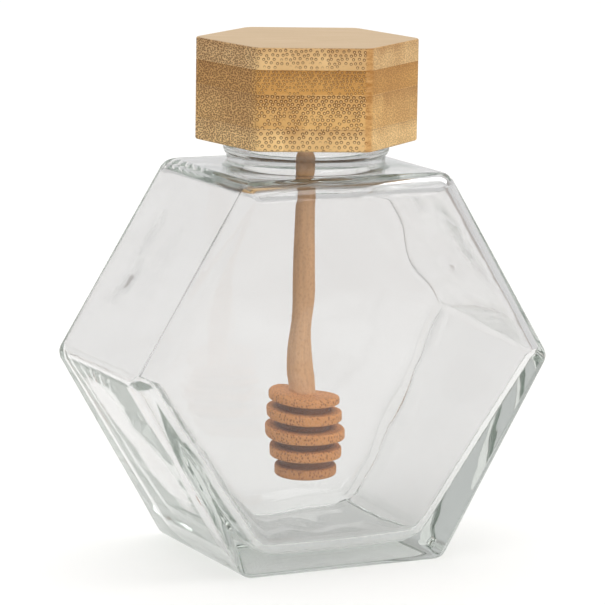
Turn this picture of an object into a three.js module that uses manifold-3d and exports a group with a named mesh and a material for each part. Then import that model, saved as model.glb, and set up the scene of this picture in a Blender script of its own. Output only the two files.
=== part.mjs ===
// Hexagonal glass honey jar with a bamboo lid and a turned wooden dipper.
// Millimetres, +Z up. The origin is the middle of the base, X runs along the
// width of the jar and the large hexagonal faces look along -Y and +Y.

import * as THREE from 'three';
import { mergeVertices } from 'three/addons/utils/BufferGeometryUtils.js';
import Module from 'manifold-3d';

// Outer form of the glass: a hexagonal prism lying on one of its six sides
const JAR_HALF_WIDTH = 60;
const JAR_HEIGHT = 103.3;
const WAIST_HEIGHT = 53.2;
const SHOULDER_HALF_WIDTH = 29.2;
const BASE_HALF_WIDTH = 28.9;
const JAR_DEPTH = 55.7;
const CORNER_RADIUS = 3.8;
const FACE_EDGE_RADIUS = 3.5;

// The hollow: its corners before rounding, and the glass left round it, thickest at the base
const HOLLOW_BASE_HALF_WIDTH = 24.1;
const HOLLOW_WAIST_HALF_WIDTH = 57.8;
const HOLLOW_SHOULDER_HALF_WIDTH = 29;
const WALL_BASE = 4.6;
const WALL_SHOULDER = 2.3;
const WALL_FACE = 1.8;
const WALL_FACE_AT_BASE = 4.2;
const HOLLOW_CORNER_RADIUS = 5;
const HOLLOW_EDGE_RADIUS = 4;

// Round neck: a waist above the shoulder, a bead, then the rim under the lid
const NECK_WAIST_RADIUS = 20.9;
const NECK_FILLET = 1.7;
const NECK_SINK = 0.05;
const BEAD_RADIUS = 21.95;
const BEAD_HALF_HEIGHT = 1.7;
const BEAD_HEIGHT = 108;
const BEAD_LOWER_ANGLE = -60;
const BEAD_UPPER_ANGLE = 85;
const RIM_RADIUS = 20.3;
const RIM_TOP = 121;
const RIM_ROUNDING = 1.2;
const BORE_RADIUS = 16.8;
const BORE_FLARE = 2.5;

// Lid: a hexagonal bamboo block, turned a little against the jar
const LID_RADIUS = 29.7;
const LID_BOTTOM = 110;
const LID_TOP = 136.9;
const LID_TURN = THREE.MathUtils.degToRad(-22.7);
const LID_CORNER_RADIUS = 3.3;
const LID_EDGE_ROUNDING = 0.5;
const LID_RECESS_RADIUS = 21;
const LID_RECESS_TOP = RIM_TOP + 0.4;

// Dipper: a stick held in the lid, with a head of five discs, lowest first
const STICK_TOP = 129.5;
const STICK_TOP_RADIUS = 2.65;
const STICK_FOOT_RADIUS = 3.3;
const STICK_TAPER_TOP = 100;
const STICK_GAP = 0.35;
const HEAD_BOTTOM = 19.9;
const DISC_RADII = [8.6, 9.9, 10.8, 10.15, 9.5];
const DISC_THICKNESS = 2.7;
const DISC_PITCH = 4.8;
const DISC_ROUNDING = 0.7;
const CROWN_ROUNDING = 1.4;
const GROOVE_RADIUS = 6.8;

// Fineness of the round forms
const ARC_STEPS = 6;
const EDGE_STEPS = 4;
const BEAD_STEPS = 8;
const FINE_STEPS = 2;
const DISC_EDGE_STEPS = 3;
const ROUND_STEPS = 48;
const DIPPER_STEPS = 32;

const manifold = await Module();
manifold.setup();

// Solids for joining and cutting

function toSolid(geometry) {
  const bare = geometry.index ? geometry.toNonIndexed() : geometry.clone();
  bare.deleteAttribute('normal');
  bare.deleteAttribute('uv');
  const merged = mergeVertices(bare, 1e-4);
  return new manifold.Manifold(new manifold.Mesh({
    numProp: 3,
    vertProperties: new Float32Array(merged.attributes.position.array),
    triVerts: new Uint32Array(merged.index.array),
  }));
}

function toGeometry(solid) {
  const mesh = solid.getMesh();
  const geometry = new THREE.BufferGeometry();
  geometry.setAttribute('position', new THREE.BufferAttribute(new Float32Array(mesh.vertProperties), 3));
  geometry.setIndex(new THREE.BufferAttribute(new Uint32Array(mesh.triVerts), 1));
  geometry.computeVertexNormals();
  return geometry;
}

// Plane outlines, listed counter-clockwise

function lyingHexagon(base, baseHalfWidth, waistHalfWidth, top, topHalfWidth) {
  return [
    new THREE.Vector2(-baseHalfWidth, base),
    new THREE.Vector2(baseHalfWidth, base),
    new THREE.Vector2(waistHalfWidth, WAIST_HEIGHT),
    new THREE.Vector2(topHalfWidth, top),
    new THREE.Vector2(-topHalfWidth, top),
    new THREE.Vector2(-waistHalfWidth, WAIST_HEIGHT),
  ];
}

function regularHexagon(radius, turn) {
  return Array.from({ length: 6 }, (_, i) => {
    const angle = turn + i * Math.PI / 3;
    return new THREE.Vector2(radius * Math.cos(angle), radius * Math.sin(angle));
  });
}

// Moves side i, from corner i to corner i + 1, inwards by distances[i]
function inset(corners, distances) {
  const count = corners.length;
  const sides = corners.map((from, i) => {
    const along = corners[(i + 1) % count].clone().sub(from).normalize();
    const inward = new THREE.Vector2(-along.y, along.x);
    return { inward, reach: inward.dot(from) + distances[i] };
  });
  return sides.map((side, i) => {
    const before = sides[(i + count - 1) % count];
    const cross = before.inward.cross(side.inward);
    return new THREE.Vector2(
      (before.reach * side.inward.y - side.reach * before.inward.y) / cross,
      (before.inward.x * side.reach - side.inward.x * before.reach) / cross,
    );
  });
}

// Outline with every corner rounded to the same radius
function roundedShape(corners, radius) {
  const centres = inset(corners, corners.map(() => radius));
  const shape = new THREE.Shape();
  corners.forEach((corner, i) => {
    const last = corners[(i + corners.length - 1) % corners.length];
    const next = corners[(i + 1) % corners.length];
    const start = Math.atan2(corner.y - last.y, corner.x - last.x) - Math.PI / 2;
    const end = Math.atan2(next.y - corner.y, next.x - corner.x) - Math.PI / 2;
    shape.absarc(centres[i].x, centres[i].y, radius, start, end, false);
  });
  return shape;
}

// Block of the given thickness whose end faces meet the sides in a rounded edge
function roundedBlock(shape, thickness, edge, steps) {
  const geometry = new THREE.ExtrudeGeometry(shape, {
    depth: thickness - 2 * edge,
    curveSegments: ARC_STEPS / 2,
    bevelThickness: edge,
    bevelSize: edge,
    bevelOffset: -edge,
    bevelSegments: steps,
  });
  return geometry.translate(0, 0, edge - thickness / 2);
}

// Points of an arc in a lathe profile, angles in degrees from the outward direction
function arc(r, z, radius, from, to, steps) {
  return Array.from({ length: steps + 1 }, (_, i) => {
    const angle = THREE.MathUtils.degToRad(from + (to - from) * i / steps);
    return new THREE.Vector2(r + radius * Math.cos(angle), z + radius * Math.sin(angle));
  });
}

// A profile given from bottom to top, closed on the axis and turned about Z
function turned(profile, steps) {
  const points = [
    new THREE.Vector2(0, profile[0].y),
    ...profile,
    new THREE.Vector2(0, profile[profile.length - 1].y),
  ];
  return new THREE.LatheGeometry(points, steps).rotateX(Math.PI / 2);
}

// Glass jar

function jarBody() {
  const outline = lyingHexagon(0, BASE_HALF_WIDTH, JAR_HALF_WIDTH, JAR_HEIGHT, SHOULDER_HALF_WIDTH);
  const shape = roundedShape(outline, CORNER_RADIUS);
  return toSolid(roundedBlock(shape, JAR_DEPTH, FACE_EDGE_RADIUS, EDGE_STEPS).rotateX(Math.PI / 2));
}

// Below the waist the hollow gets narrower from front to back
function narrowed(solid) {
  const geometry = toGeometry(solid);
  const points = geometry.attributes.position;
  const loss = (WALL_FACE_AT_BASE - WALL_FACE) / (JAR_DEPTH / 2 - WALL_FACE);
  for (let i = 0; i < points.count; i++) {
    const share = Math.max(0, WAIST_HEIGHT - points.getZ(i)) / (WAIST_HEIGHT - WALL_BASE);
    points.setY(i, points.getY(i) * (1 - loss * share));
  }
  return toSolid(geometry);
}

function jarHollow() {
  const outline = lyingHexagon(WALL_BASE, HOLLOW_BASE_HALF_WIDTH, HOLLOW_WAIST_HALF_WIDTH,
    JAR_HEIGHT - WALL_SHOULDER, HOLLOW_SHOULDER_HALF_WIDTH);
  const shape = roundedShape(outline, HOLLOW_CORNER_RADIUS);
  const block = roundedBlock(shape, JAR_DEPTH - 2 * WALL_FACE, HOLLOW_EDGE_RADIUS, EDGE_STEPS);
  const [upper, lower] = toSolid(block.rotateX(Math.PI / 2)).splitByPlane([0, 0, 1], WAIST_HEIGHT);
  return upper.add(narrowed(lower));
}

function neckOutside() {
  const foot = NECK_WAIST_RADIUS + NECK_FILLET;
  const lip = RIM_RADIUS - RIM_ROUNDING;
  return toSolid(turned([
    new THREE.Vector2(foot, JAR_HEIGHT - WALL_SHOULDER / 2),
    ...arc(foot, JAR_HEIGHT - NECK_SINK + NECK_FILLET, NECK_FILLET, 270, 180, EDGE_STEPS),
    ...arc(BEAD_RADIUS - BEAD_HALF_HEIGHT, BEAD_HEIGHT, BEAD_HALF_HEIGHT,
      BEAD_LOWER_ANGLE, BEAD_UPPER_ANGLE, BEAD_STEPS),
    new THREE.Vector2(RIM_RADIUS, BEAD_HEIGHT + BEAD_HALF_HEIGHT),
    ...arc(lip, RIM_TOP - RIM_ROUNDING, RIM_ROUNDING, 0, 90, EDGE_STEPS),
  ], ROUND_STEPS));
}

function neckBore() {
  const ceiling = JAR_HEIGHT - WALL_SHOULDER;
  return toSolid(turned([
    new THREE.Vector2(BORE_RADIUS + BORE_FLARE, ceiling - BORE_FLARE),
    ...arc(BORE_RADIUS + BORE_FLARE, ceiling - NECK_SINK + BORE_FLARE, BORE_FLARE, 270, 180, EDGE_STEPS),
    ...arc(BORE_RADIUS + RIM_ROUNDING, RIM_TOP - RIM_ROUNDING, RIM_ROUNDING, 180, 90, EDGE_STEPS),
    new THREE.Vector2(BORE_RADIUS + RIM_ROUNDING, RIM_TOP + RIM_ROUNDING),
  ], ROUND_STEPS));
}

function glassJar() {
  const outside = jarBody().add(neckOutside());
  return toGeometry(outside.subtract(jarHollow().add(neckBore())));
}

// Bamboo lid

function lidBlock() {
  const shape = roundedShape(regularHexagon(LID_RADIUS, LID_TURN), LID_CORNER_RADIUS);
  const block = roundedBlock(shape, LID_TOP - LID_BOTTOM, LID_EDGE_ROUNDING, FINE_STEPS);
  return toSolid(block.translate(0, 0, (LID_TOP + LID_BOTTOM) / 2));
}

function lidRecess() {
  return toSolid(turned([
    new THREE.Vector2(LID_RECESS_RADIUS, LID_BOTTOM - 1),
    new THREE.Vector2(LID_RECESS_RADIUS, LID_RECESS_TOP),
  ], ROUND_STEPS));
}

function stickHole() {
  const radius = STICK_TOP_RADIUS + STICK_GAP;
  return toSolid(turned([
    new THREE.Vector2(radius, LID_RECESS_TOP - 1),
    new THREE.Vector2(radius, STICK_TOP + STICK_GAP),
  ], DIPPER_STEPS));
}

function bambooLid() {
  return toGeometry(lidBlock().subtract(lidRecess().add(stickHole())));
}

// Honey dipper

function discProfile(radius, bottom, upperRounding) {
  const top = bottom + DISC_THICKNESS;
  return [
    ...arc(radius - DISC_ROUNDING, bottom + DISC_ROUNDING, DISC_ROUNDING, 270, 360, DISC_EDGE_STEPS),
    ...arc(radius - upperRounding, top - upperRounding, upperRounding, 0, 90, DISC_EDGE_STEPS),
  ];
}

function headProfile() {
  const crown = DISC_RADII.length - 1;
  return DISC_RADII.flatMap((radius, i) => {
    const bottom = HEAD_BOTTOM + i * DISC_PITCH;
    if (i === crown) return discProfile(radius, bottom, CROWN_ROUNDING);
    return [
      ...discProfile(radius, bottom, DISC_ROUNDING),
      new THREE.Vector2(GROOVE_RADIUS, bottom + DISC_THICKNESS),
      new THREE.Vector2(GROOVE_RADIUS, bottom + DISC_PITCH),
    ];
  });
}

function stickProfile() {
  const foot = HEAD_BOTTOM + (DISC_RADII.length - 1) * DISC_PITCH + DISC_THICKNESS;
  return [
    new THREE.Vector2(STICK_FOOT_RADIUS, foot),
    new THREE.Vector2(STICK_TOP_RADIUS, STICK_TAPER_TOP),
    new THREE.Vector2(STICK_TOP_RADIUS, STICK_TOP),
  ];
}

function honeyDipper() {
  return toGeometry(toSolid(turned([...headProfile(), ...stickProfile()], DIPPER_STEPS)));
}

// Scene graph

function piece(name, geometry, material) {
  const mesh = new THREE.Mesh(geometry, material);
  mesh.name = name;
  return mesh;
}

const glass = new THREE.MeshStandardMaterial({
  color: 0xe6ece8, roughness: 0.03, metalness: 0, transparent: true, opacity: 0.35,
});
const bamboo = new THREE.MeshStandardMaterial({ color: 0xc9a070, roughness: 0.55, metalness: 0 });
const beech = new THREE.MeshStandardMaterial({ color: 0xb98f6c, roughness: 0.6, metalness: 0 });

const honeyPot = new THREE.Group();
honeyPot.add(
  piece('glass_jar', glassJar(), glass),
  piece('bamboo_lid', bambooLid(), bamboo),
  piece('honey_dipper', honeyDipper(), beech),
);

export default honeyPot;
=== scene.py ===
"""Hexagonal glass honey jar with a bamboo lid and a turned wooden honey dipper.

Metres, +Z up, with the origin in the middle of the jar's base.
"""

import math

import bmesh
import bpy
from bpy.props import FloatProperty, FloatVectorProperty, PointerProperty
from mathutils import Matrix, Vector


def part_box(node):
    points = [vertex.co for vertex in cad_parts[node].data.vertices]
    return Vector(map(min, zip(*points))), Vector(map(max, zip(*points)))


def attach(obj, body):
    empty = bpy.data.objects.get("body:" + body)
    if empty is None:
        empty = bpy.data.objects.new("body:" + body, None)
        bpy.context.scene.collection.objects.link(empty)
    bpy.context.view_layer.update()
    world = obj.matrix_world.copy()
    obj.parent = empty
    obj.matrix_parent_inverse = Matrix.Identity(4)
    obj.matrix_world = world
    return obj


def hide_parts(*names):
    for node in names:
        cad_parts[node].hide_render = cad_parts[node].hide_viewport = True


bl_info = {
    "name": "Honey Jar",
    "version": (1, 0, 0),
    "blender": (4, 5, 0),
    "location": "3D View > Sidebar > Honey Jar",
    "description": "Hexagonal glass honey jar with a bamboo lid and a wooden dipper",
    "category": "Add Mesh",
}

MM = 0.001
SAME_PLACE = 0.01 * MM  # two places closer than this are the same
SMOOTH_ANGLE = math.radians(50)  # faces that meet at less are shaded as one surface
ROUND_STEPS = 96  # sides of a round solid

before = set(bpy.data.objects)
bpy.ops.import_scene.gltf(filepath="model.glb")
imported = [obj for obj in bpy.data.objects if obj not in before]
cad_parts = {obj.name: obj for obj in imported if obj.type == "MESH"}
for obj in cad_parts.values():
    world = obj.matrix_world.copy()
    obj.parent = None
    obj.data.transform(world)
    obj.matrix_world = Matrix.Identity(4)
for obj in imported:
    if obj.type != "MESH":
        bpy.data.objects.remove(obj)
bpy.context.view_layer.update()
JAR_LOW, JAR_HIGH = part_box("glass_jar")
LID_LOW, LID_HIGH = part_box("bamboo_lid")
DIPPER_LOW, DIPPER_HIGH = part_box("honey_dipper")


def srgb(code):
    """Linear colour from an sRGB hex code."""
    channels = [int(code[i : i + 2], 16) / 255 for i in (0, 2, 4)]
    return [c / 12.92 if c <= 0.04045 else ((c + 0.055) / 1.055) ** 2.4 for c in channels]


# Sizes and colours that a user would change


def length(name, default, description):
    return FloatProperty(
        name=name,
        description=description,
        default=default,
        min=0.0,
        unit="LENGTH",
        subtype="DISTANCE",
    )


def colour(name, code, description):
    return FloatVectorProperty(
        name=name,
        description=description,
        default=srgb(code),
        size=3,
        min=0,
        max=1,
        subtype="COLOR",
    )


def light(name, default, description):
    return FloatProperty(name=name, description=description, default=default, unit="POWER")


class JarSettings(bpy.types.PropertyGroup):
    """Sizes of the glass jar"""

    waist_half_width: length("Waist half width", 60 * MM, "Axis to the corner of the widest line")
    waist_height: length("Waist height", 53.2 * MM, "Base to the widest line")
    base_half_width: length("Base half width", 28.9 * MM, "Axis to the sharp corner of the base")
    shoulder_half_width: length("Shoulder half width", 29.2 * MM, "Axis to the shoulder's corner")
    shoulder_height: length("Shoulder height", 103.3 * MM, "Base to the flat top under the neck")
    depth: length("Depth", JAR_HIGH.y - JAR_LOW.y, "Front face to back face")
    corner_radius: length("Corner radius", 3.8 * MM, "Rounding of the six long corners")
    edge_radius: length("Edge radius", 4.4 * MM, "Rounding of the large faces at the shoulder")
    unevenness: length("Unevenness", 0.55 * MM, "How far the inside of the glass waves")


class LidSettings(bpy.types.PropertyGroup):
    """Sizes and colours of the bamboo lid"""

    radius: length("Radius", 29.7 * MM, "Axis to the sharp corners of the hexagon")
    bottom: length("Bottom", LID_LOW.z, "Height of the lid's lower face")
    top: length("Top", LID_HIGH.z, "Height of the lid's upper face")
    turn: FloatProperty(
        name="Turn",
        description="How far the lid is turned against the jar",
        default=math.radians(-22.7),
        subtype="ANGLE",
    )
    fibre: colour("Fibre", "4E2700", "Ends of the fibre bundles")


class DipperSettings(bpy.types.PropertyGroup):
    """Sizes and colours of the honey dipper"""

    top: length("Top", DIPPER_HIGH.z, "Height of the stick's end in the lid")
    bottom: length("Bottom", DIPPER_LOW.z, "Height of the lowest disc's underside")
    stick_radius: length("Stick radius", 2.5 * MM, "Radius of the stick at the lid")
    wood: colour("Wood", "E7B585", "Beech of the stick")
    head: colour("Discs", "DA9048", "Beech on the rims of the discs")
    # painted shade in the grooves: this colour stands in for the shade that falls there
    painted_groove_shade: colour("Grooves", "602E0C", "Burnished wood in the grooves")


class StageSettings(bpy.types.PropertyGroup):
    """Floor and light"""

    floor: colour("Floor", "F4F4F3", "Matte floor sheet")
    floor_radius: length("Floor radius", 6.0, "Radius of the floor sheet")
    key_power: light("Key light", 12.9, "Large soft light from the front right")
    top_power: light("Top light", 60.5, "Wide soft light overhead")


# Modelling helpers


def take(obj):
    """Makes one object the only selected one and the active one."""
    bpy.ops.object.select_all(action="DESELECT")
    obj.select_set(True)
    bpy.context.view_layer.objects.active = obj


def start():
    """Leaves nothing selected before a primitive is added."""
    bpy.ops.object.select_all(action="DESELECT")


def bake_place(obj):
    """Moves the object's place, turn and scale into its mesh."""
    take(obj)
    bpy.ops.object.transform_apply(location=True, rotation=True, scale=True)


def pick(kind, test):
    """In edit mode, selects only the vertices, edges or faces that pass a test."""
    bpy.ops.mesh.select_mode(type=kind)
    bpy.ops.mesh.select_all(action="DESELECT")
    data = bpy.context.object.data
    mesh = bmesh.from_edit_mesh(data)
    elements = {"VERT": mesh.verts, "EDGE": mesh.edges, "FACE": mesh.faces}[kind]
    found = [element for element in elements if test(element)]
    for element in found:
        element.select_set(True)
    mesh.select_flush_mode()
    bmesh.update_edit_mesh(data)
    if not found:
        raise RuntimeError(f"nothing to select on {bpy.context.object.name}")


def near(a, b):
    return abs(a - b) < SAME_PLACE


def finish_modifier(obj, kind, **settings):
    """Adds a modifier and applies it."""
    take(obj)
    modifier = obj.modifiers.new(kind.title(), kind)
    for key, value in settings.items():
        setattr(modifier, key, value)
    bpy.ops.object.modifier_apply(modifier=modifier.name)


def combine(obj, tool, operation):
    """Joins or cuts with another solid, which is used up."""
    finish_modifier(obj, "BOOLEAN", object=tool, operation=operation, solver="EXACT")
    bpy.data.objects.remove(tool)


def turned(name, profile, steps=ROUND_STEPS):
    """A round solid about Z from (radius, height) points, foot first."""
    start()
    (radius, height), *rest = profile
    bpy.ops.mesh.primitive_circle_add(
        vertices=steps, radius=radius, fill_type="NGON", location=(0, 0, height)
    )
    obj = bpy.context.object
    obj.name = obj.data.name = name
    bake_place(obj)
    bpy.ops.object.mode_set(mode="EDIT")
    bpy.ops.mesh.select_all(action="SELECT")
    for next_radius, next_height in rest:
        step = (0, 0, next_height - height)
        bpy.ops.mesh.extrude_region_move(TRANSFORM_OT_translate={"value": step})
        ratio = next_radius / radius
        bpy.ops.transform.resize(value=(ratio, ratio, 1), center_override=(0, 0, next_height))
        radius, height = next_radius, next_height
    bpy.ops.mesh.select_all(action="SELECT")
    bpy.ops.mesh.normals_make_consistent(inside=False)
    bpy.ops.object.mode_set(mode="OBJECT")
    return obj


def arc(radius, height, bend, begin, end, steps):
    """Profile points of an arc round (radius, height), angles in degrees from outward."""
    angles = [math.radians(begin + (end - begin) * i / steps) for i in range(steps + 1)]
    return [(radius + bend * math.cos(a), height + bend * math.sin(a)) for a in angles]


def shade(obj):
    """Smooth shading in which large flat faces stay flat."""
    take(obj)
    bpy.ops.object.shade_smooth_by_angle(angle=SMOOTH_ANGLE)
    finish_modifier(obj, "WEIGHTED_NORMAL", mode="FACE_AREA", weight=80, keep_sharp=True)


# Material helpers

MIX_A, MIX_B = 6, 7  # the two colour inputs of a Mix node


def add_node(tree, kind, inputs=None, stops=None, stepped=False, **settings):
    """Adds a node with options, ramp stops and inputs, each a value or a socket or node to link."""
    made = tree.nodes.new(kind)
    for key, value in settings.items():
        setattr(made, key, value)
    if stops:
        ramp = made.color_ramp
        ramp.interpolation = "CONSTANT" if stepped else "LINEAR"
        ramp.elements[1].position = 1
        for _ in stops[2:]:
            ramp.elements.new(0.5)
        for element, (place, tone) in zip(ramp.elements, stops):
            element.position = place
            element.color = (*tone, 1) if isinstance(tone, (list, tuple)) else (tone, tone, tone, 1)
    for key, value in (inputs or {}).items():
        socket = made.inputs[key]
        if isinstance(value, bpy.types.Node):
            value = next(out for out in value.outputs if out.enabled)
        if isinstance(value, bpy.types.NodeSocket):
            tree.links.new(value, socket)
        elif socket.type == "RGBA" and len(value) == 3:
            socket.default_value = (*value, 1)
        else:
            socket.default_value = value
    return made


def new_material(name):
    material = bpy.data.materials.new(name)
    material.use_nodes = True
    material.node_tree.nodes.clear()
    return material, material.node_tree


# Glass jar


def hexagonal_prism(name, bottom, waist, top):
    """A sharp hexagonal prism on its side, from 3 levels of (half width, half depth, height)."""
    start()
    low, middle, high = bottom[2], waist[2], top[2]
    bpy.ops.mesh.primitive_cube_add(
        size=1, location=(0, 0, (low + high) / 2), scale=(2 * waist[0], 2 * waist[1], high - low)
    )
    obj = bpy.context.object
    obj.name = obj.data.name = name
    bake_place(obj)
    bpy.ops.object.mode_set(mode="EDIT")
    bpy.ops.mesh.select_all(action="SELECT")
    bpy.ops.mesh.bisect(plane_co=(0, 0, middle), plane_no=(0, 0, 1))
    for half_width, half_depth, height in (bottom, top):
        pick("VERT", lambda v: near(v.co.z, height))
        ratio = (half_width / waist[0], half_depth / waist[1], 1)
        bpy.ops.transform.resize(value=ratio, center_override=(0, 0, height))
    if near(bottom[1], waist[1]) and near(waist[1], top[1]):
        pick("EDGE", level_at(middle))
        bpy.ops.mesh.dissolve_edges(use_verts=False)
    bpy.ops.object.mode_set(mode="OBJECT")
    return obj


def across(edge):
    """True for an edge that runs from the front face to the back one."""
    return near(*(v.co.x for v in edge.verts)) and near(*(v.co.z for v in edge.verts))


def across_at(height):
    """A test for the edges that run from front to back at a height."""
    return lambda e: across(e) and near(e.verts[0].co.z, height)


def level_at(height):
    """A test for the edges of the large faces that lie at a height."""
    return lambda e: not across(e) and all(near(v.co.z, height) for v in e.verts)


def below(height):
    """A test for the edges of the large faces that reach below a height."""
    return lambda e: not across(e) and min(v.co.z for v in e.verts) < height - 10 * SAME_PLACE


def above(height):
    """A test for the edges of the large faces that reach above a height."""
    return lambda e: not across(e) and max(v.co.z for v in e.verts) > height + 10 * SAME_PLACE


def at_back(test):
    """The same test for the back face alone."""
    return lambda e: e.verts[0].co.y > 0 and test(e)


def round_edges(obj, widest, shares):
    """Rounds edges by (share of the widest rounding, test), of which a later one wins."""
    take(obj)
    bpy.ops.object.mode_set(mode="EDIT")
    for share, test in shares:
        pick("EDGE", test)
        bpy.ops.transform.edge_bevelweight(value=-1.0)
        bpy.ops.transform.edge_bevelweight(value=share)
    bpy.ops.object.mode_set(mode="OBJECT")
    finish_modifier(
        obj,
        "BEVEL",
        limit_method="WEIGHT",
        offset_type="OFFSET",
        width=widest,
        segments=8,
        use_clamp_overlap=False,
    )


def slice_evenly(obj, pitch):
    """Cuts all faces at an even pitch along X, Y and Z, so that a smooth wave can bend them."""
    take(obj)
    sides = [(min(c), max(c)) for c in zip(*(corner[:] for corner in obj.bound_box))]
    bpy.ops.object.mode_set(mode="EDIT")
    for axis, (low, high) in enumerate(sides):
        count = round((high - low) / pitch)
        for i in range(1, count):
            plane = [0, 0, 0]
            plane[axis] = low + (high - low) * i / count
            bpy.ops.mesh.select_all(action="SELECT")
            bpy.ops.mesh.bisect(plane_co=plane, plane_no=[int(a == axis) for a in range(3)])
    bpy.ops.mesh.select_all(action="SELECT")
    bpy.ops.mesh.normals_make_consistent(inside=False)
    bpy.ops.object.mode_set(mode="OBJECT")


def swell(middle, reach, shift):
    """In edit mode, shifts the surface round a point, less and less out to its reach, in mm."""
    point = Vector(middle) * MM
    pick("VERT", lambda v: (v.co - point).length < SWELL_TOP * MM)
    bpy.ops.transform.translate(
        value=Vector(shift) * MM,
        use_proportional_edit=True,
        proportional_edit_falloff="SMOOTH",
        proportional_size=reach * MM,
    )


def jar_block(jar):
    """The outside of the glass below the neck, crisper below the waist than above it."""
    base, waist, shoulder = 0.0, jar.waist_height, jar.shoulder_height
    obj = hexagonal_prism(
        "jar_glass",
        (jar.base_half_width, jar.depth / 2, base),
        (jar.waist_half_width, jar.depth / 2, waist),
        (jar.shoulder_half_width, jar.depth / 2, shoulder),
    )
    # roundings of one radius start further from their edge, the sharper the edge is
    lower = math.atan2(waist - base, jar.waist_half_width - jar.base_half_width)
    upper = math.atan2(shoulder - waist, jar.shoulder_half_width - jar.waist_half_width)
    corner = jar.corner_radius / jar.edge_radius
    shares = (
        (corner * math.tan(lower / 2), across_at(base)),
        (corner * math.tan((upper - lower) / 2), across_at(waist)),
        (corner * math.tan((math.pi - upper) / 2), across_at(shoulder)),
        (0.52, below(waist)),
        (0.8, above(waist)),
        (1.0, level_at(shoulder)),
    )
    round_edges(obj, jar.edge_radius, shares)
    return obj


NECK_FILLET = 1.7 * MM
NECK_RADIUS = 20.9 * MM
BEAD_RADIUS = 21.95 * MM
BEAD_HEIGHT = 108 * MM
BEAD_BEND = 1.7 * MM
BEAD_GAP = 0.3 * MM  # between the bead and the straight rim
RIM_RADIUS = 20.3 * MM
RIM_BEND = 1.2 * MM
BORE_RADIUS = 16.8 * MM
BORE_FLARE = 2.5 * MM
BORE_REACH = 6 * MM  # over the rim
FILLET_SINK = 0.05 * MM  # how far a fillet starts under the surface that it grows from
NECK_ROOT = 2 * MM  # how deep the neck reaches into the shoulder
NECK_STEPS = 128  # sides of the neck, finer than other round solids because it bends light
# sharp form of the hollow: half width, half depth and height of its floor, waist and ceiling
HOLLOW_LEVELS = (
    (24.1 * MM, 23.6 * MM, 4.6 * MM),
    (57.8 * MM, 26.0 * MM, 53.2 * MM),
    (29.0 * MM, 26.1 * MM, 101.0 * MM),
)
HOLLOW_ROUNDING = 11 * MM  # a share of 1 in its rounded edges
HOLLOW_PITCH = 2.5 * MM  # between the cuts that let its faces bend
WAVE_SPACING = 30 * MM
WAVES_FADE, WAVES_END = 28 * MM, 42 * MM  # right of the axis, where they get weaker and stop
SWELL_TOP = 3.2  # millimetres round a swell's middle that move by its whole shift
# where the glass is thicker or thinner: middle, reach and shift of its inside, in millimetres
SWELLS = (
    # front face
    ((-4.5, -26.1, 58), 14, (0, 1.05, 0)),
    ((-36, -26.1, 31), 26, (0, 1.1, 0)),
    ((34, -26.1, 57), 17, (0, 1.3, 0)),
    ((24, -26.1, 84), 9, (0, 0.7, 0)),
    ((20, -26.1, 38), 13, (0, 0.6, 0)),
    # floor
    ((-14, 6, 4.6), 7, (0, 0, -1.2)),
    ((-6, -4, 4.6), 6, (0, 0, 1.3)),
    ((1, 9, 4.6), 6, (0, 0, 1.2)),
    ((4, -1, 4.6), 5, (0, 0, -1.1)),
    ((9, -8, 4.6), 6, (0, 0, 1.1)),
    ((13, 4, 4.6), 6, (0, 0, -1.1)),
    ((-15, -8, 4.6), 6, (0, 0, 1.0)),
    ((-1, -12, 4.6), 5, (0, 0, -1.0)),
    # slanting sides
    ((44, -6, 78), 15, (-0.7, 0, -0.4)),
    ((36, 10, 92), 11, (-0.4, 0, -0.25)),
    ((-40, 17, 86), 10, (0.45, 0, -0.27)),
    ((-46, 15, 75), 10, (0.45, 0, -0.27)),
    ((-41, -10, 30), 12, (1.1, 0, 0.7)),
    ((-47, 12, 38), 12, (-0.8, 0, -0.5)),
)


def neck_profile(shoulder, rim_top):
    """The waist, the bead and the rim, from inside the shoulder up."""
    foot = NECK_RADIUS + NECK_FILLET
    return [
        (foot, shoulder - NECK_ROOT),
        *arc(foot, shoulder + NECK_FILLET - FILLET_SINK, NECK_FILLET, 268, 180, 8),
        *arc(BEAD_RADIUS - BEAD_BEND, BEAD_HEIGHT, BEAD_BEND, -60, 85, 14),
        (RIM_RADIUS, BEAD_HEIGHT + BEAD_BEND + BEAD_GAP),
        *arc(RIM_RADIUS - RIM_BEND, rim_top - RIM_BEND, RIM_BEND, 0, 90, 6),
    ]


def bore_profile(ceiling, rim_top):
    """The way in through the neck, from inside the hollow to above the rim."""
    foot = BORE_RADIUS + BORE_FLARE
    return [
        (foot, ceiling - BORE_FLARE),
        *arc(foot, ceiling - FILLET_SINK + BORE_FLARE, BORE_FLARE, 268, 180, 8),
        (BORE_RADIUS, rim_top + BORE_REACH),
    ]


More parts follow.
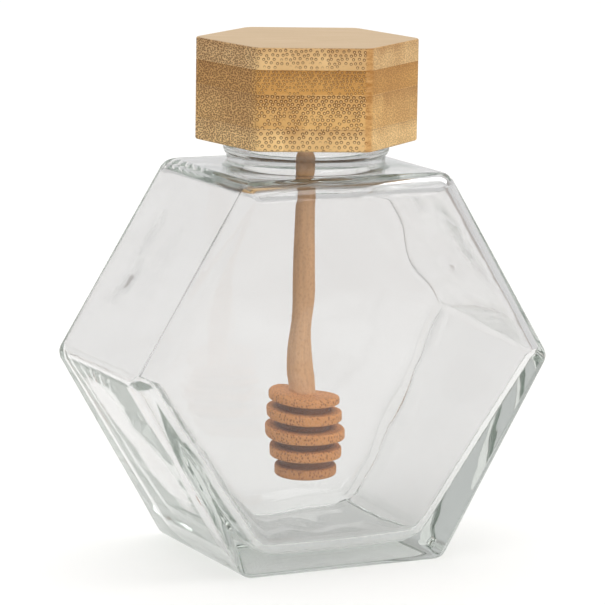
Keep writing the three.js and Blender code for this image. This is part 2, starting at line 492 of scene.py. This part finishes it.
def hollow_solid(jar):
    """The space inside: thin walls above the waist, thicker and rounder below, slightly wavy."""
    hollow = hexagonal_prism("hollow", *HOLLOW_LEVELS)
    floor, waist, ceiling = (height for _, _, height in HOLLOW_LEVELS)
    shares = (
        (0.8, below(waist)),
        (0.45, at_back(below(waist))),
        (0.6, level_at(floor)),
        (0.2, above(waist)),
        (0.1, at_back(above(waist))),
        (0.32, level_at(ceiling)),
        (0.5, across_at(floor)),
        (0.15, across_at(waist)),
        (0.14, across_at(ceiling)),
    )
    round_edges(hollow, HOLLOW_ROUNDING, shares)
    combine(hollow, turned("bore", bore_profile(ceiling, JAR_HIGH.z)), "UNION")
    slice_evenly(hollow, HOLLOW_PITCH)
    waves = bpy.data.textures.new("blown waves", "CLOUDS")
    waves.noise_scale = WAVE_SPACING
    waves.noise_depth = 0
    wavy = hollow.vertex_groups.new(name="wavy")
    for vertex in hollow.data.vertices:
        share = (WAVES_END - vertex.co.x) / (WAVES_END - WAVES_FADE)
        wavy.add([vertex.index], min(max(share, 0.0), 1.0), "REPLACE")
    finish_modifier(
        hollow,
        "DISPLACE",
        texture=waves,
        texture_coords="GLOBAL",
        strength=2 * jar.unevenness,
        mid_level=0.5,
        vertex_group="wavy",
    )
    hollow.vertex_groups.clear()
    bpy.data.textures.remove(waves)
    bpy.ops.object.mode_set(mode="EDIT")
    for middle, reach, shift in SWELLS:
        swell(middle, reach, shift)
    bpy.ops.object.mode_set(mode="OBJECT")
    return hollow


def soda_lime_glass():
    """Soda-lime glass, blown into a mould: clear, glossy, grey-green where light goes far in it."""
    material, tree = new_material("soda-lime glass, mould-blown")
    place = add_node(tree, "ShaderNodeTexCoord").outputs["Object"]
    # chill marks of the mould: soft waves about 9 mm apart and hundredths of a millimetre deep
    waves = add_node(tree, "ShaderNodeTexNoise", {"Vector": place, "Scale": 110.0, "Detail": 0.0})
    bump = add_node(
        tree, "ShaderNodeBump", {"Height": waves, "Strength": 0.25, "Distance": 0.3 * MM}
    )
    glass = add_node(
        tree,
        "ShaderNodeBsdfPrincipled",
        {
            "Base Color": (0.85, 0.848, 0.85),
            "Roughness": 0.0,
            "IOR": 1.5,
            "Transmission Weight": 1.0,
            "Normal": bump,
        },
    )
    # light falls through to the floor as through thin clear glass, with only a faint shadow
    clear = add_node(tree, "ShaderNodeBsdfTransparent", {"Color": (0.968, 0.972, 0.968)})
    rays = add_node(tree, "ShaderNodeLightPath").outputs["Is Shadow Ray"]
    surface = add_node(tree, "ShaderNodeMixShader", {0: rays, 1: glass, 2: clear})
    # the iron in the glass takes a little red and blue from light on its way
    tint = add_node(
        tree, "ShaderNodeVolumeAbsorption", {"Color": (0.24, 0.35, 0.27), "Density": 8.0}
    )
    add_node(tree, "ShaderNodeOutputMaterial", {"Surface": surface, "Volume": tint})
    return material


class HONEYJAR_OT_jar(bpy.types.Operator):
    """Model the hollow glass jar with its beaded neck"""

    bl_idname = "honeyjar.jar"
    bl_label = "Glass jar"

    def execute(self, context):
        jar = context.scene.honey_jar
        glass = jar_block(jar)
        neck = turned("neck", neck_profile(jar.shoulder_height, JAR_HIGH.z), NECK_STEPS)
        combine(glass, neck, "UNION")
        combine(glass, hollow_solid(jar), "DIFFERENCE")
        shade(glass)
        glass.data.materials.clear()
        glass.data.materials.append(soda_lime_glass())
        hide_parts("glass_jar")
        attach(glass, "root")
        return {"FINISHED"}


# Bamboo lid

LID_CORNER = 3.3 * MM  # radius of the six upright corners
LID_EDGE = 0.5 * MM
RECESS_RADIUS = 21 * MM
RECESS_GAP = 0.4 * MM  # over the glass rim
HOLE_RADIUS = 3.0 * MM
HOLE_GAP = 0.35 * MM  # over the stick's end
OVERCUT = 1 * MM  # how far a cutting tool reaches past a face
LAYER_BOTTOMS = (0.0, 0.22, 0.547, 0.785)  # shares of the lid's height, lowest layer first
LAYER_COLOURS = ("EFCA8E", "DCB070", "CA9854", "E2BE88")  # lowest layer first
BUNDLE_PITCH = (1.5, 1.3, 0.98, 1.34)  # millimetres between fibre bundles, lowest layer first
BUNDLE_SIZE = (0.31, 0.38, 0.36, 0.31)  # radius of a bundle as a share of that
ROW_CROWDING = 1.3  # rows of bundles lie this much closer than the bundles in a row
ROW_STAGGER = 0.5  # steps sideways from row to row
STRIP_WIDTH = 21.0  # millimetres
STRIP_SHIFTS = (1.353, 0.12, 0.75, 0.82)  # where a layer's strips meet, in strip widths
DARK_STRIP = "A06B30"
GLUE_LINE = "84562B"
BUNDLE_EYE = "F6DFB0"
SIDE_DOTS = "553216"
SIDE_FIBRES = "E4CB9E"  # cut open and pale on the slanting sides
EDGE_STREAKS = ("A9743A", "D0A062")
TOP_STREAKS = ("B69D7B", "C4AC8D")


def laminated_bamboo(lid):
    """Laminated bamboo, sanded: glued layers, with rings where fibre bundles end, grain on top."""
    material, tree = new_material("laminated bamboo, sanded")
    coordinates = add_node(tree, "ShaderNodeTexCoord")
    # millimetres, turned with the lid, heights from its lower face
    place = add_node(
        tree,
        "ShaderNodeMapping",
        {
            "Vector": coordinates.outputs["Object"],
            "Location": (0, 0, -lid.bottom / MM),
            "Rotation": (0, 0, -lid.turn),
            "Scale": (1 / MM, 1 / MM, 1 / MM),
        },
    )
    facing = add_node(
        tree,
        "ShaderNodeMapping",
        {"Vector": coordinates.outputs["Normal"], "Rotation": (0, 0, -lid.turn)},
        vector_type="NORMAL",
    )
    x, _, z = add_node(tree, "ShaderNodeSeparateXYZ", {0: place}).outputs
    face_x, face_y, face_z = add_node(tree, "ShaderNodeSeparateXYZ", {0: facing}).outputs
    height = (lid.top - lid.bottom) / MM
    level = add_node(tree, "ShaderNodeMath", {0: z, 1: height}, operation="DIVIDE")

    # how far up its own layer a point lies, and each layer's own values
    edges = (*LAYER_BOTTOMS, 1.0)
    layers = zip(edges, edges[1:])
    saw = [stop for low, high in layers for stop in ((low, 0.0), (high - 0.001, 1.0))]
    rise = add_node(tree, "ShaderNodeValToRGB", {0: level}, saw)
    bundles_per_mm, size, shift, layer_colour = (
        add_node(
            tree, "ShaderNodeValToRGB", {0: level}, list(zip(LAYER_BOTTOMS, values)), stepped=True
        )
        for values in (
            [1 / pitch for pitch in BUNDLE_PITCH],
            BUNDLE_SIZE,
            STRIP_SHIFTS,
            [srgb(code) for code in LAYER_COLOURS],
        )
    )

    # strips 21 mm wide lie side by side in a layer, every other one a little darker
    strip = add_node(
        tree, "ShaderNodeMath", {0: x, 1: 1 / STRIP_WIDTH, 2: shift}, operation="MULTIPLY_ADD"
    )
    strip = add_node(tree, "ShaderNodeMath", {0: strip}, operation="FLOOR")
    odd = add_node(tree, "ShaderNodeMath", {0: strip, 1: 2.0}, operation="FLOORED_MODULO")

    # bundles stand in staggered rows: a square lattice, pushed sideways from row to row
    row = add_node(tree, "ShaderNodeMath", {0: z, 1: bundles_per_mm}, operation="MULTIPLY")
    row = add_node(tree, "ShaderNodeMath", {0: row, 1: ROW_CROWDING}, operation="MULTIPLY")
    column = add_node(tree, "ShaderNodeMath", {0: x, 1: bundles_per_mm}, operation="MULTIPLY")
    column = add_node(
        tree, "ShaderNodeMath", {0: row, 1: ROW_STAGGER, 2: column}, operation="MULTIPLY_ADD"
    )
    lattice = add_node(tree, "ShaderNodeCombineXYZ", {0: column, 1: row})
    bundle = add_node(
        tree,
        "ShaderNodeTexVoronoi",
        {"Vector": lattice, "Scale": 1.0, "Randomness": 0.42},
        voronoi_dimensions="2D",
    )
    # the way from the bundle's middle, back in upright steps
    off = add_node(
        tree,
        "ShaderNodeVectorMath",
        {0: lattice, 1: bundle.outputs["Position"]},
        operation="SUBTRACT",
    )
    off_column, off_row, _ = add_node(tree, "ShaderNodeSeparateXYZ", {0: off}).outputs
    off_x = add_node(
        tree,
        "ShaderNodeMath",
        {0: off_row, 1: -ROW_STAGGER, 2: off_column},
        operation="MULTIPLY_ADD",
    )
    off_z = add_node(
        tree, "ShaderNodeMath", {0: off_row, 1: 1 / ROW_CROWDING}, operation="MULTIPLY"
    )
    off = add_node(tree, "ShaderNodeCombineXYZ", {0: off_x, 1: off_z})
    reach = add_node(tree, "ShaderNodeVectorMath", {0: off}, operation="LENGTH")
    reach = add_node(tree, "ShaderNodeMath", {0: reach, 1: size}, operation="DIVIDE")
    # each bundle: a pale eye and a brown ring; painted shade makes the ring darker on its upper
    # side, as in a pit lit from above
    ring = add_node(
        tree,
        "ShaderNodeValToRGB",
        {0: reach},
        [(0.0, 0.0), (0.3, 0.0), (0.52, 0.95), (0.88, 1.0), (1.0, 0.0)],
    )
    # painted shade: the ring keeps full strength above its middle and is weaker below it
    painted_pit_shade = add_node(
        tree,
        "ShaderNodeMapRange",
        {"Value": off_z, "From Min": -0.2, "From Max": 0.2, "To Min": 0.7, "To Max": 1.0},
        interpolation_type="SMOOTHSTEP",
    )
    # crowded and dark at a layer's top, the outer side of the stem's wall, sparse at its bottom
    crowd = add_node(tree, "ShaderNodeMapRange", {"Value": rise, "To Min": 0.75, "To Max": 1.0})
    chance = add_node(tree, "ShaderNodeSeparateColor", {0: bundle.outputs["Color"]}).outputs[0]
    chance = add_node(tree, "ShaderNodeMath", {0: rise, 1: chance}, operation="SUBTRACT")
    there = add_node(
        tree, "ShaderNodeMapRange", {"Value": chance, "From Min": -0.6, "From Max": -0.4}
    )
    dots = ring
    for part in (painted_pit_shade, crowd, there):
        dots = add_node(tree, "ShaderNodeMath", {0: dots, 1: part}, operation="MULTIPLY")

    # the colour between the bundles: cloudy, darker strips and dark glue lines
    cloud = add_node(tree, "ShaderNodeTexNoise", {"Vector": place, "Scale": 0.16, "Detail": 3.0})
    cloud = add_node(
        tree,
        "ShaderNodeMapRange",
        {"Value": cloud, "From Min": 0.35, "From Max": 0.7, "To Max": 0.25},
    )
    patchy = add_node(tree, "ShaderNodeMath", {0: odd, 1: 0.16, 2: cloud}, operation="MULTIPLY_ADD")
    outer = add_node(tree, "ShaderNodeMapRange", {"Value": rise, "From Min": 0.55, "To Max": 0.3})
    patchy = add_node(tree, "ShaderNodeMath", {0: patchy, 1: outer}, operation="ADD")
    ground = add_node(
        tree,
        "ShaderNodeMix",
        {0: patchy, MIX_A: layer_colour, MIX_B: srgb(DARK_STRIP)},
        data_type="RGBA",
    )
    glue = add_node(
        tree,
        "ShaderNodeMapRange",
        {"Value": rise, "From Min": 0.955, "From Max": 0.99, "To Max": 0.4},
    )
    ground = add_node(
        tree, "ShaderNodeMix", {0: glue, MIX_A: ground, MIX_B: srgb(GLUE_LINE)}, data_type="RGBA"
    )
    eye = add_node(
        tree,
        "ShaderNodeMapRange",
        {"Value": reach, "From Max": 0.5, "To Min": 0.55, "To Max": 0.0},
    )
    eye = add_node(tree, "ShaderNodeMath", {0: eye, 1: there}, operation="MULTIPLY")
    end_face = add_node(
        tree, "ShaderNodeMix", {0: eye, MIX_A: ground, MIX_B: srgb(BUNDLE_EYE)}, data_type="RGBA"
    )
    end_face = add_node(
        tree, "ShaderNodeMix", {0: dots, MIX_A: end_face, MIX_B: list(lid.fibre)}, data_type="RGBA"
    )

    # the slanting sides cut the bundles askew: fine dots about 0.4 mm apart, weaker on the right
    fine = add_node(
        tree,
        "ShaderNodeTexVoronoi",
        {
            "Vector": add_node(tree, "ShaderNodeCombineXYZ", {0: x, 1: z}),
            "Scale": 2.4,
            "Randomness": 0.9,
        },
        voronoi_dimensions="2D",
    )
    fine = add_node(
        tree,
        "ShaderNodeMapRange",
        {"Value": fine, "From Min": 0.1, "From Max": 0.65, "To Min": 1.0, "To Max": 0.0},
        interpolation_type="SMOOTHSTEP",
    )
    side = add_node(
        tree,
        "ShaderNodeMapRange",
        {"Value": face_x, "From Min": -0.3, "From Max": 0.3, "To Min": 0.84, "To Max": 0.4},
    )
    fine = add_node(tree, "ShaderNodeMath", {0: fine, 1: side}, operation="MULTIPLY")
    pale = add_node(tree, "ShaderNodeMath", {0: side, 1: 0.15}, operation="MULTIPLY")
    pale = add_node(
        tree, "ShaderNodeMix", {0: pale, MIX_A: ground, MIX_B: srgb(SIDE_FIBRES)}, data_type="RGBA"
    )
    side_face = add_node(
        tree, "ShaderNodeMix", {0: fine, MIX_A: pale, MIX_B: srgb(SIDE_DOTS)}, data_type="RGBA"
    )

    # on the rounded upright edges the fibres run out in short level streaks, about 0.7 mm thick
    streaks = add_node(
        tree,
        "ShaderNodeTexNoise",
        {
            "Vector": add_node(
                tree, "ShaderNodeMapping", {"Vector": place, "Scale": (0.3, 0.3, 1.5)}
            ),
            "Scale": 1.0,
        },
    )
    streaks = add_node(
        tree,
        "ShaderNodeValToRGB",
        {0: streaks},
        list(zip((0.38, 0.62), map(srgb, EDGE_STREAKS))),
    )
    end_grain = add_node(tree, "ShaderNodeMath", {0: face_y}, operation="ABSOLUTE")
    end_grain = add_node(
        tree,
        "ShaderNodeMapRange",
        {"Value": end_grain, "From Min": 0.8, "From Max": 0.95},
        interpolation_type="SMOOTHSTEP",
    )
    sides = add_node(
        tree, "ShaderNodeMix", {0: end_grain, MIX_A: side_face, MIX_B: end_face}, data_type="RGBA"
    )
    edge = add_node(
        tree,
        "ShaderNodeValToRGB",
        {0: face_x},
        [(0.12, 0.0), (0.3, 0.75), (0.6, 0.75), (0.8, 0.0)],
    )
    sides = add_node(
        tree, "ShaderNodeMix", {0: edge, MIX_A: sides, MIX_B: streaks}, data_type="RGBA"
    )

    # the top shows the fibres lengthwise: pale streaks about 0.6 mm wide
    grain = add_node(
        tree,
        "ShaderNodeTexNoise",
        {
            "Vector": add_node(
                tree, "ShaderNodeMapping", {"Vector": place, "Scale": (0.06, 1.6, 1.0)}
            ),
            "Scale": 1.0,
            "Detail": 4.0,
        },
    )
    top_face = add_node(
        tree, "ShaderNodeValToRGB", {0: grain}, list(zip((0.3, 0.7), map(srgb, TOP_STREAKS)))
    )
    flat_top = add_node(tree, "ShaderNodeMath", {0: face_z}, operation="ABSOLUTE")
    flat_top = add_node(
        tree,
        "ShaderNodeMapRange",
        {"Value": flat_top, "From Min": 0.6, "From Max": 0.9},
        interpolation_type="SMOOTHSTEP",
    )
    wood = add_node(
        tree, "ShaderNodeMix", {0: flat_top, MIX_A: sides, MIX_B: top_face}, data_type="RGBA"
    )
    relief = add_node(
        tree,
        "ShaderNodeBump",
        {"Height": dots, "Strength": 0.3, "Distance": 0.05 * MM},
        invert=True,
    )
    surface = add_node(
        tree,
        "ShaderNodeBsdfPrincipled",
        {
            "Base Color": wood,
            "Normal": relief,
            "Roughness": 0.6,
            "IOR": 1.5,
            "Specular IOR Level": 0.22,
        },
    )
    add_node(tree, "ShaderNodeOutputMaterial", {"Surface": surface})
    return material


class HONEYJAR_OT_lid(bpy.types.Operator):
    """Model the hexagonal lid with its recess and the hole for the stick"""

    bl_idname = "honeyjar.lid"
    bl_label = "Bamboo lid"

    def execute(self, context):
        lid = context.scene.honey_lid
        start()
        bpy.ops.mesh.primitive_cylinder_add(
            vertices=6,
            radius=lid.radius,
            depth=lid.top - lid.bottom,
            location=(0, 0, (lid.top + lid.bottom) / 2),
            rotation=(0, 0, lid.turn - math.pi / 6),
        )
        block = context.object
        block.name = block.data.name = "lid_bamboo"
        bake_place(block)
        bpy.ops.object.mode_set(mode="EDIT")
        corner_offset = LID_CORNER * math.tan(math.pi / 6)
        for test, offset, segments in (
            (lambda e: not near(*(v.co.z for v in e.verts)), corner_offset, 10),
            (lambda e: near(*(v.co.z for v in e.verts)), LID_EDGE, 4),
        ):
            pick("EDGE", test)
            bpy.ops.mesh.bevel(
                offset_type="OFFSET",
                offset=offset,
                segments=segments,
                profile=0.5,
                affect="EDGES",
                clamp_overlap=False,
            )
        bpy.ops.object.mode_set(mode="OBJECT")
        recess_top = JAR_HIGH.z + RECESS_GAP
        hole_top = DIPPER_HIGH.z + HOLE_GAP
        for name, radius, low, high, steps in (
            ("recess", RECESS_RADIUS, lid.bottom - OVERCUT, recess_top, ROUND_STEPS),
            ("hole", HOLE_RADIUS, recess_top - OVERCUT, hole_top, ROUND_STEPS // 2),
        ):
            combine(block, turned(name, [(radius, low), (radius, high)], steps), "DIFFERENCE")
        shade(block)
        block.data.materials.clear()
        block.data.materials.append(laminated_bamboo(lid))
        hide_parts("bamboo_lid")
        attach(block, "root")
        return {"FINISHED"}


# Honey dipper

DISC_RADII = (8.6 * MM, 9.9 * MM, 10.8 * MM, 10.15 * MM, 9.5 * MM)  # lowest disc first
DISC_THICKNESS = 2.7 * MM
DISC_PITCH = 4.8 * MM
DISC_LOWER_EDGE = 0.55 * MM  # radius of the rounding, as in the next two
DISC_UPPER_EDGE = 0.6 * MM
TOP_DISC_UPPER_EDGE = 1.1 * MM
GROOVE_RADIUS = 6.8 * MM
GROOVE_CORNER = 0.4 * MM
GROOVE_LIP = 0.02 * MM  # keeps a groove's first ring apart from the disc's last one
STICK_FILLET = ((3.9 * MM, 0.05 * MM), (3.4 * MM, 0.5 * MM))  # radius, height over the top disc
STICK_FOOT_RADIUS = 3.35 * MM
STICK_TAPER_END = 100 * MM  # the height at which the stick is as thin as at the lid
STICK_TAPER_STEPS = 8
STICK_CHAMFER = 0.4 * MM
FLECKS = "8C5028"


def head_top(dipper):
    """Height of the uppermost disc's top."""
    return dipper.bottom + (len(DISC_RADII) - 1) * DISC_PITCH + DISC_THICKNESS


def dipper_profile(dipper):
    """Five discs with grooves between them, then the stick."""
    points = []
    for i, radius in enumerate(DISC_RADII):
        low = dipper.bottom + i * DISC_PITCH
        high = low + DISC_THICKNESS
        top_disc = i == len(DISC_RADII) - 1
        lower = DISC_LOWER_EDGE
        upper = TOP_DISC_UPPER_EDGE if top_disc else DISC_UPPER_EDGE
        points += arc(radius - lower, low + lower, lower, -90, 0, 6)
        points += arc(radius - upper, high - upper, upper, 0, 90, 8)
        if not top_disc:
            groove_top = high + DISC_PITCH - DISC_THICKNESS
            points += [
                (GROOVE_RADIUS + GROOVE_CORNER, high + GROOVE_LIP),
                (GROOVE_RADIUS, high + GROOVE_CORNER),
                (GROOVE_RADIUS, groove_top - GROOVE_CORNER),
                (GROOVE_RADIUS + GROOVE_CORNER, groove_top - GROOVE_LIP),
            ]
    foot = head_top(dipper)
    tip = dipper.stick_radius
    points += [(radius, foot + height) for radius, height in STICK_FILLET]
    for i in range(1, STICK_TAPER_STEPS + 1):
        share = i / STICK_TAPER_STEPS
        radius = STICK_FOOT_RADIUS + (tip - STICK_FOOT_RADIUS) * share
        points.append((radius, foot + (STICK_TAPER_END - foot) * share))
    points += [(tip, dipper.top - STICK_CHAMFER), (tip - STICK_CHAMFER, dipper.top)]
    return points


def turned_beech(dipper):
    """Beech, turned and sanded, without varnish: plain pinkish brown with dark pores and flecks."""
    material, tree = new_material("beech, turned and sanded")
    place = add_node(
        tree,
        "ShaderNodeMapping",
        {
            "Vector": add_node(tree, "ShaderNodeTexCoord").outputs["Object"],
            "Scale": (1 / MM, 1 / MM, 1 / MM),
        },
    )
    x, y, z = add_node(tree, "ShaderNodeSeparateXYZ", {0: place}).outputs
    # growth lines run up the stick, about 1 mm apart
    grain = add_node(
        tree,
        "ShaderNodeTexNoise",
        {
            "Vector": add_node(
                tree, "ShaderNodeMapping", {"Vector": place, "Scale": (0.9, 0.9, 0.08)}
            ),
            "Scale": 1.0,
            "Detail": 4.0,
            "Roughness": 0.6,
        },
    )
    base = add_node(tree, "ShaderNodeMapRange", {"Value": grain, "From Min": 0.3, "From Max": 0.7})
    pale_wood = list(dipper.wood)
    dark_wood = [0.8 * c for c in dipper.wood]
    base = add_node(
        tree, "ShaderNodeMix", {0: base, MIX_A: dark_wood, MIX_B: pale_wood}, data_type="RGBA"
    )
    # the discs are a deeper brown than the stick; painted shade darkens the head near its axis: the
    # grooves, the disc faces beside them and the underside
    top = head_top(dipper) / MM
    head = add_node(
        tree,
        "ShaderNodeMapRange",
        {"Value": z, "From Min": top, "From Max": top + 1.0, "To Min": 0.8, "To Max": 0.0},
    )
    base = add_node(
        tree, "ShaderNodeMix", {0: head, MIX_A: base, MIX_B: list(dipper.head)}, data_type="RGBA"
    )
    flat = add_node(tree, "ShaderNodeCombineXYZ", {0: x, 1: y})
    from_axis = add_node(tree, "ShaderNodeVectorMath", {0: flat}, operation="LENGTH")
    core = GROOVE_RADIUS / MM
    # painted shade: full up to 0.3 mm outside the groove bottoms, gone 2.2 mm outside them
    painted_groove_shade = add_node(
        tree,
        "ShaderNodeMapRange",
        {
            "Value": from_axis,
            "From Min": core + 0.3,
            "From Max": core + 2.2,
            "To Min": 0.8,
            "To Max": 0.0,
        },
    )
    below_top = add_node(tree, "ShaderNodeMath", {0: z, 1: top - 1.5}, operation="LESS_THAN")
    painted_groove_shade = add_node(tree, "ShaderNodeMath", {0: painted_groove_shade, 1: below_top}, operation="MULTIPLY")
    base = add_node(
        tree,
        "ShaderNodeMix",
        {0: painted_groove_shade, MIX_A: base, MIX_B: list(dipper.painted_groove_shade)},
        data_type="RGBA",
    )
    # pores and short rays, drawn about 0.5 mm wide, coarser than the real 0.1 mm, so that they show
    flecks = add_node(
        tree,
        "ShaderNodeTexVoronoi",
        {
            "Vector": add_node(
                tree, "ShaderNodeMapping", {"Vector": place, "Scale": (1.5, 1.5, 1.1)}
            ),
            "Scale": 1.0,
        },
    )
    flecks = add_node(
        tree,
        "ShaderNodeMapRange",
        {"Value": flecks, "From Min": 0.15, "From Max": 0.5, "To Min": 0.9, "To Max": 0.0},
        interpolation_type="SMOOTHSTEP",
    )
    on_head = add_node(
        tree, "ShaderNodeMath", {0: head, 1: 0.95, 2: 0.2}, operation="MULTIPLY_ADD"
    )
    flecks = add_node(tree, "ShaderNodeMath", {0: flecks, 1: on_head}, operation="MULTIPLY")
    wood = add_node(
        tree, "ShaderNodeMix", {0: flecks, MIX_A: base, MIX_B: srgb(FLECKS)}, data_type="RGBA"
    )
    relief = add_node(
        tree, "ShaderNodeBump", {"Height": grain, "Strength": 0.3, "Distance": 0.05 * MM}
    )
    surface = add_node(
        tree,
        "ShaderNodeBsdfPrincipled",
        {
            "Base Color": wood,
            "Normal": relief,
            "Roughness": 0.6,
            "IOR": 1.5,
            "Specular IOR Level": 0.3,
        },
    )
    add_node(tree, "ShaderNodeOutputMaterial", {"Surface": surface})
    return material


class HONEYJAR_OT_dipper(bpy.types.Operator):
    """Model the turned dipper, a stick with a head of five discs"""

    bl_idname = "honeyjar.dipper"
    bl_label = "Honey dipper"

    def execute(self, context):
        dipper = context.scene.honey_dipper
        wood = turned("dipper_beech", dipper_profile(dipper))
        shade(wood)
        wood.data.materials.clear()
        wood.data.materials.append(turned_beech(dipper))
        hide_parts("honey_dipper")
        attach(wood, "root")
        return {"FINISHED"}


# Stage

VIEW_TURN = math.radians(-26.25)  # about Z, from straight in front
VIEW_RISE = math.radians(10.06)
VIEW_ROLL = math.radians(0.87)
VIEW_DISTANCE = 0.985
AIM_RIGHT, AIM_HEIGHT = -0.31 * MM, 66.42 * MM  # of the point in the middle of the picture
LENS, SENSOR = 221.3, 36  # millimetres
# size, place and aim of the two lights
TOP_SOFTBOX = ((3.4, 3.4), (0.35, 0.65, 2.3), (0.35, 0.65, 0))
KEY_SOFTBOX = ((1.2, 1.2), (0.5, -1.9, 1.1), (0, 0, 0.07))
SHEET_EDGE = (0.26, 0.36)  # from the middle, where the paper turns into the table
TABLE = "BDB5B1"
# colour of the surroundings by height, from the horizon up
SKY = ((0.0, 0.81), (0.35, 0.775), (0.65, (0.46, 0.446, 0.432)), (1.0, (0.37, 0.355, 0.34)))
LIGHT_BOUNCES = 64


def area_light(name, power, size, place, aim):
    start()
    bpy.ops.object.light_add(type="AREA", location=place)
    lamp = bpy.context.object
    lamp.name = lamp.data.name = name
    lamp.rotation_euler = (Vector(aim) - Vector(place)).to_track_quat("-Z", "Y").to_euler()
    lamp.data.shape = "RECTANGLE"
    lamp.data.size, lamp.data.size_y = size
    lamp.data.energy = power


def place_camera(scene):
    """A long lens from the front left, a little above, as the photograph was taken."""
    sideways, forward = math.cos(VIEW_TURN), math.sin(VIEW_TURN)
    level = math.cos(VIEW_RISE)
    right = Vector((sideways, forward, 0))
    back = Vector((forward * level, -sideways * level, math.sin(VIEW_RISE)))
    up = back.cross(right)
    x_axis = right * math.cos(VIEW_ROLL) + up * math.sin(VIEW_ROLL)
    y_axis = up * math.cos(VIEW_ROLL) - right * math.sin(VIEW_ROLL)
    target = right * AIM_RIGHT + Vector((0, 0, AIM_HEIGHT))
    start()
    bpy.ops.object.camera_add(location=target + back * VIEW_DISTANCE)
    camera = bpy.context.object
    camera.rotation_euler = Matrix((x_axis, y_axis, back)).transposed().to_euler()
    camera.data.lens = LENS
    camera.data.sensor_width = SENSOR
    camera.data.clip_start, camera.data.clip_end = 0.05, 50
    scene.camera = camera


def paper_sheet(stage):
    """White paper, matte, on a warm grey table, which darkens the edges of the glass."""
    material, tree = new_material("paper sheet, matte")
    # paper fibres: a faint unevenness 3 mm apart
    place = add_node(tree, "ShaderNodeTexCoord").outputs["Object"]
    fibres = add_node(tree, "ShaderNodeTexNoise", {"Vector": place, "Scale": 330.0, "Detail": 2.0})
    relief = add_node(
        tree, "ShaderNodeBump", {"Height": fibres, "Strength": 0.1, "Distance": 0.1 * MM}
    )
    beside = add_node(tree, "ShaderNodeMapping", {"Vector": place, "Rotation": (0, 0, -VIEW_TURN)})
    beside = add_node(tree, "ShaderNodeSeparateXYZ", {0: beside}).outputs[0]
    beside = add_node(tree, "ShaderNodeMath", {0: beside}, operation="ABSOLUTE")
    beside = add_node(
        tree,
        "ShaderNodeMapRange",
        {"Value": beside, "From Min": SHEET_EDGE[0], "From Max": SHEET_EDGE[1]},
        interpolation_type="SMOOTHSTEP",
    )
    paper = add_node(
        tree,
        "ShaderNodeMix",
        {0: beside, MIX_A: list(stage.floor), MIX_B: srgb(TABLE)},
        data_type="RGBA",
    )
    surface = add_node(
        tree,
        "ShaderNodeBsdfPrincipled",
        {"Base Color": paper, "Roughness": 0.9, "Normal": relief},
    )
    add_node(tree, "ShaderNodeOutputMaterial", {"Surface": surface})
    return material


def studio_world():
    """A bright backdrop all round under a dimmer, warmer ceiling."""
    world = bpy.data.worlds.new("studio")
    world.use_nodes = True
    tree = world.node_tree
    tree.nodes.clear()
    way = add_node(tree, "ShaderNodeTexCoord").outputs["Generated"]
    rise = add_node(tree, "ShaderNodeSeparateXYZ", {0: way}).outputs[2]
    glow = add_node(tree, "ShaderNodeValToRGB", {0: rise}, SKY)
    sky = add_node(tree, "ShaderNodeBackground", {"Color": glow, "Strength": 1.0})
    add_node(tree, "ShaderNodeOutputWorld", {"Surface": sky})
    return world


class HONEYJAR_OT_stage(bpy.types.Operator):
    """Add the pale floor, the soft studio light and the camera"""

    bl_idname = "honeyjar.stage"
    bl_label = "Stage"

    def execute(self, context):
        scene = context.scene
        stage = scene.honey_stage
        start()
        bpy.ops.mesh.primitive_circle_add(vertices=64, radius=stage.floor_radius, fill_type="NGON")
        floor = context.object
        floor.name = floor.data.name = "floor"
        floor.data.materials.append(paper_sheet(stage))

        area_light("top softbox", stage.top_power, *TOP_SOFTBOX)
        area_light("key softbox", stage.key_power, *KEY_SOFTBOX)
        scene.world = studio_world()
        scene.view_settings.view_transform = "Standard"
        # light crosses the glass walls many times before it leaves an edge
        scene.cycles.max_bounces = LIGHT_BOUNCES
        scene.cycles.glossy_bounces = LIGHT_BOUNCES
        scene.cycles.transmission_bounces = LIGHT_BOUNCES
        place_camera(scene)
        return {"FINISHED"}


class HONEYJAR_PT_panel(bpy.types.Panel):
    """Settings and steps of the honey jar"""

    bl_idname = "HONEYJAR_PT_panel"
    bl_label = "Honey Jar"
    bl_space_type = "VIEW_3D"
    bl_region_type = "UI"
    bl_category = "Honey Jar"

    def draw(self, context):
        for group, step in STEPS:
            box = self.layout.box()
            box.operator(step)
            settings = getattr(context.scene, group)
            for name in settings.__annotations__:
                box.prop(settings, name)


STEPS = (
    ("honey_jar", "honeyjar.jar"),
    ("honey_lid", "honeyjar.lid"),
    ("honey_dipper", "honeyjar.dipper"),
    ("honey_stage", "honeyjar.stage"),
)
GROUPS = {
    "honey_jar": JarSettings,
    "honey_lid": LidSettings,
    "honey_dipper": DipperSettings,
    "honey_stage": StageSettings,
}
CLASSES = (
    *GROUPS.values(),
    HONEYJAR_OT_jar,
    HONEYJAR_OT_lid,
    HONEYJAR_OT_dipper,
    HONEYJAR_OT_stage,
    HONEYJAR_PT_panel,
)


def register():
    for cls in CLASSES:
        bpy.utils.register_class(cls)
    for name, group in GROUPS.items():
        setattr(bpy.types.Scene, name, PointerProperty(type=group))


def unregister():
    for name in GROUPS:
        delattr(bpy.types.Scene, name)
    for cls in reversed(CLASSES):
        bpy.utils.unregister_class(cls)


def main():
    register()
    bpy.ops.honeyjar.jar()
    bpy.ops.honeyjar.lid()
    bpy.ops.honeyjar.dipper()
    bpy.ops.honeyjar.stage()


if __name__ == "__main__":
    main()
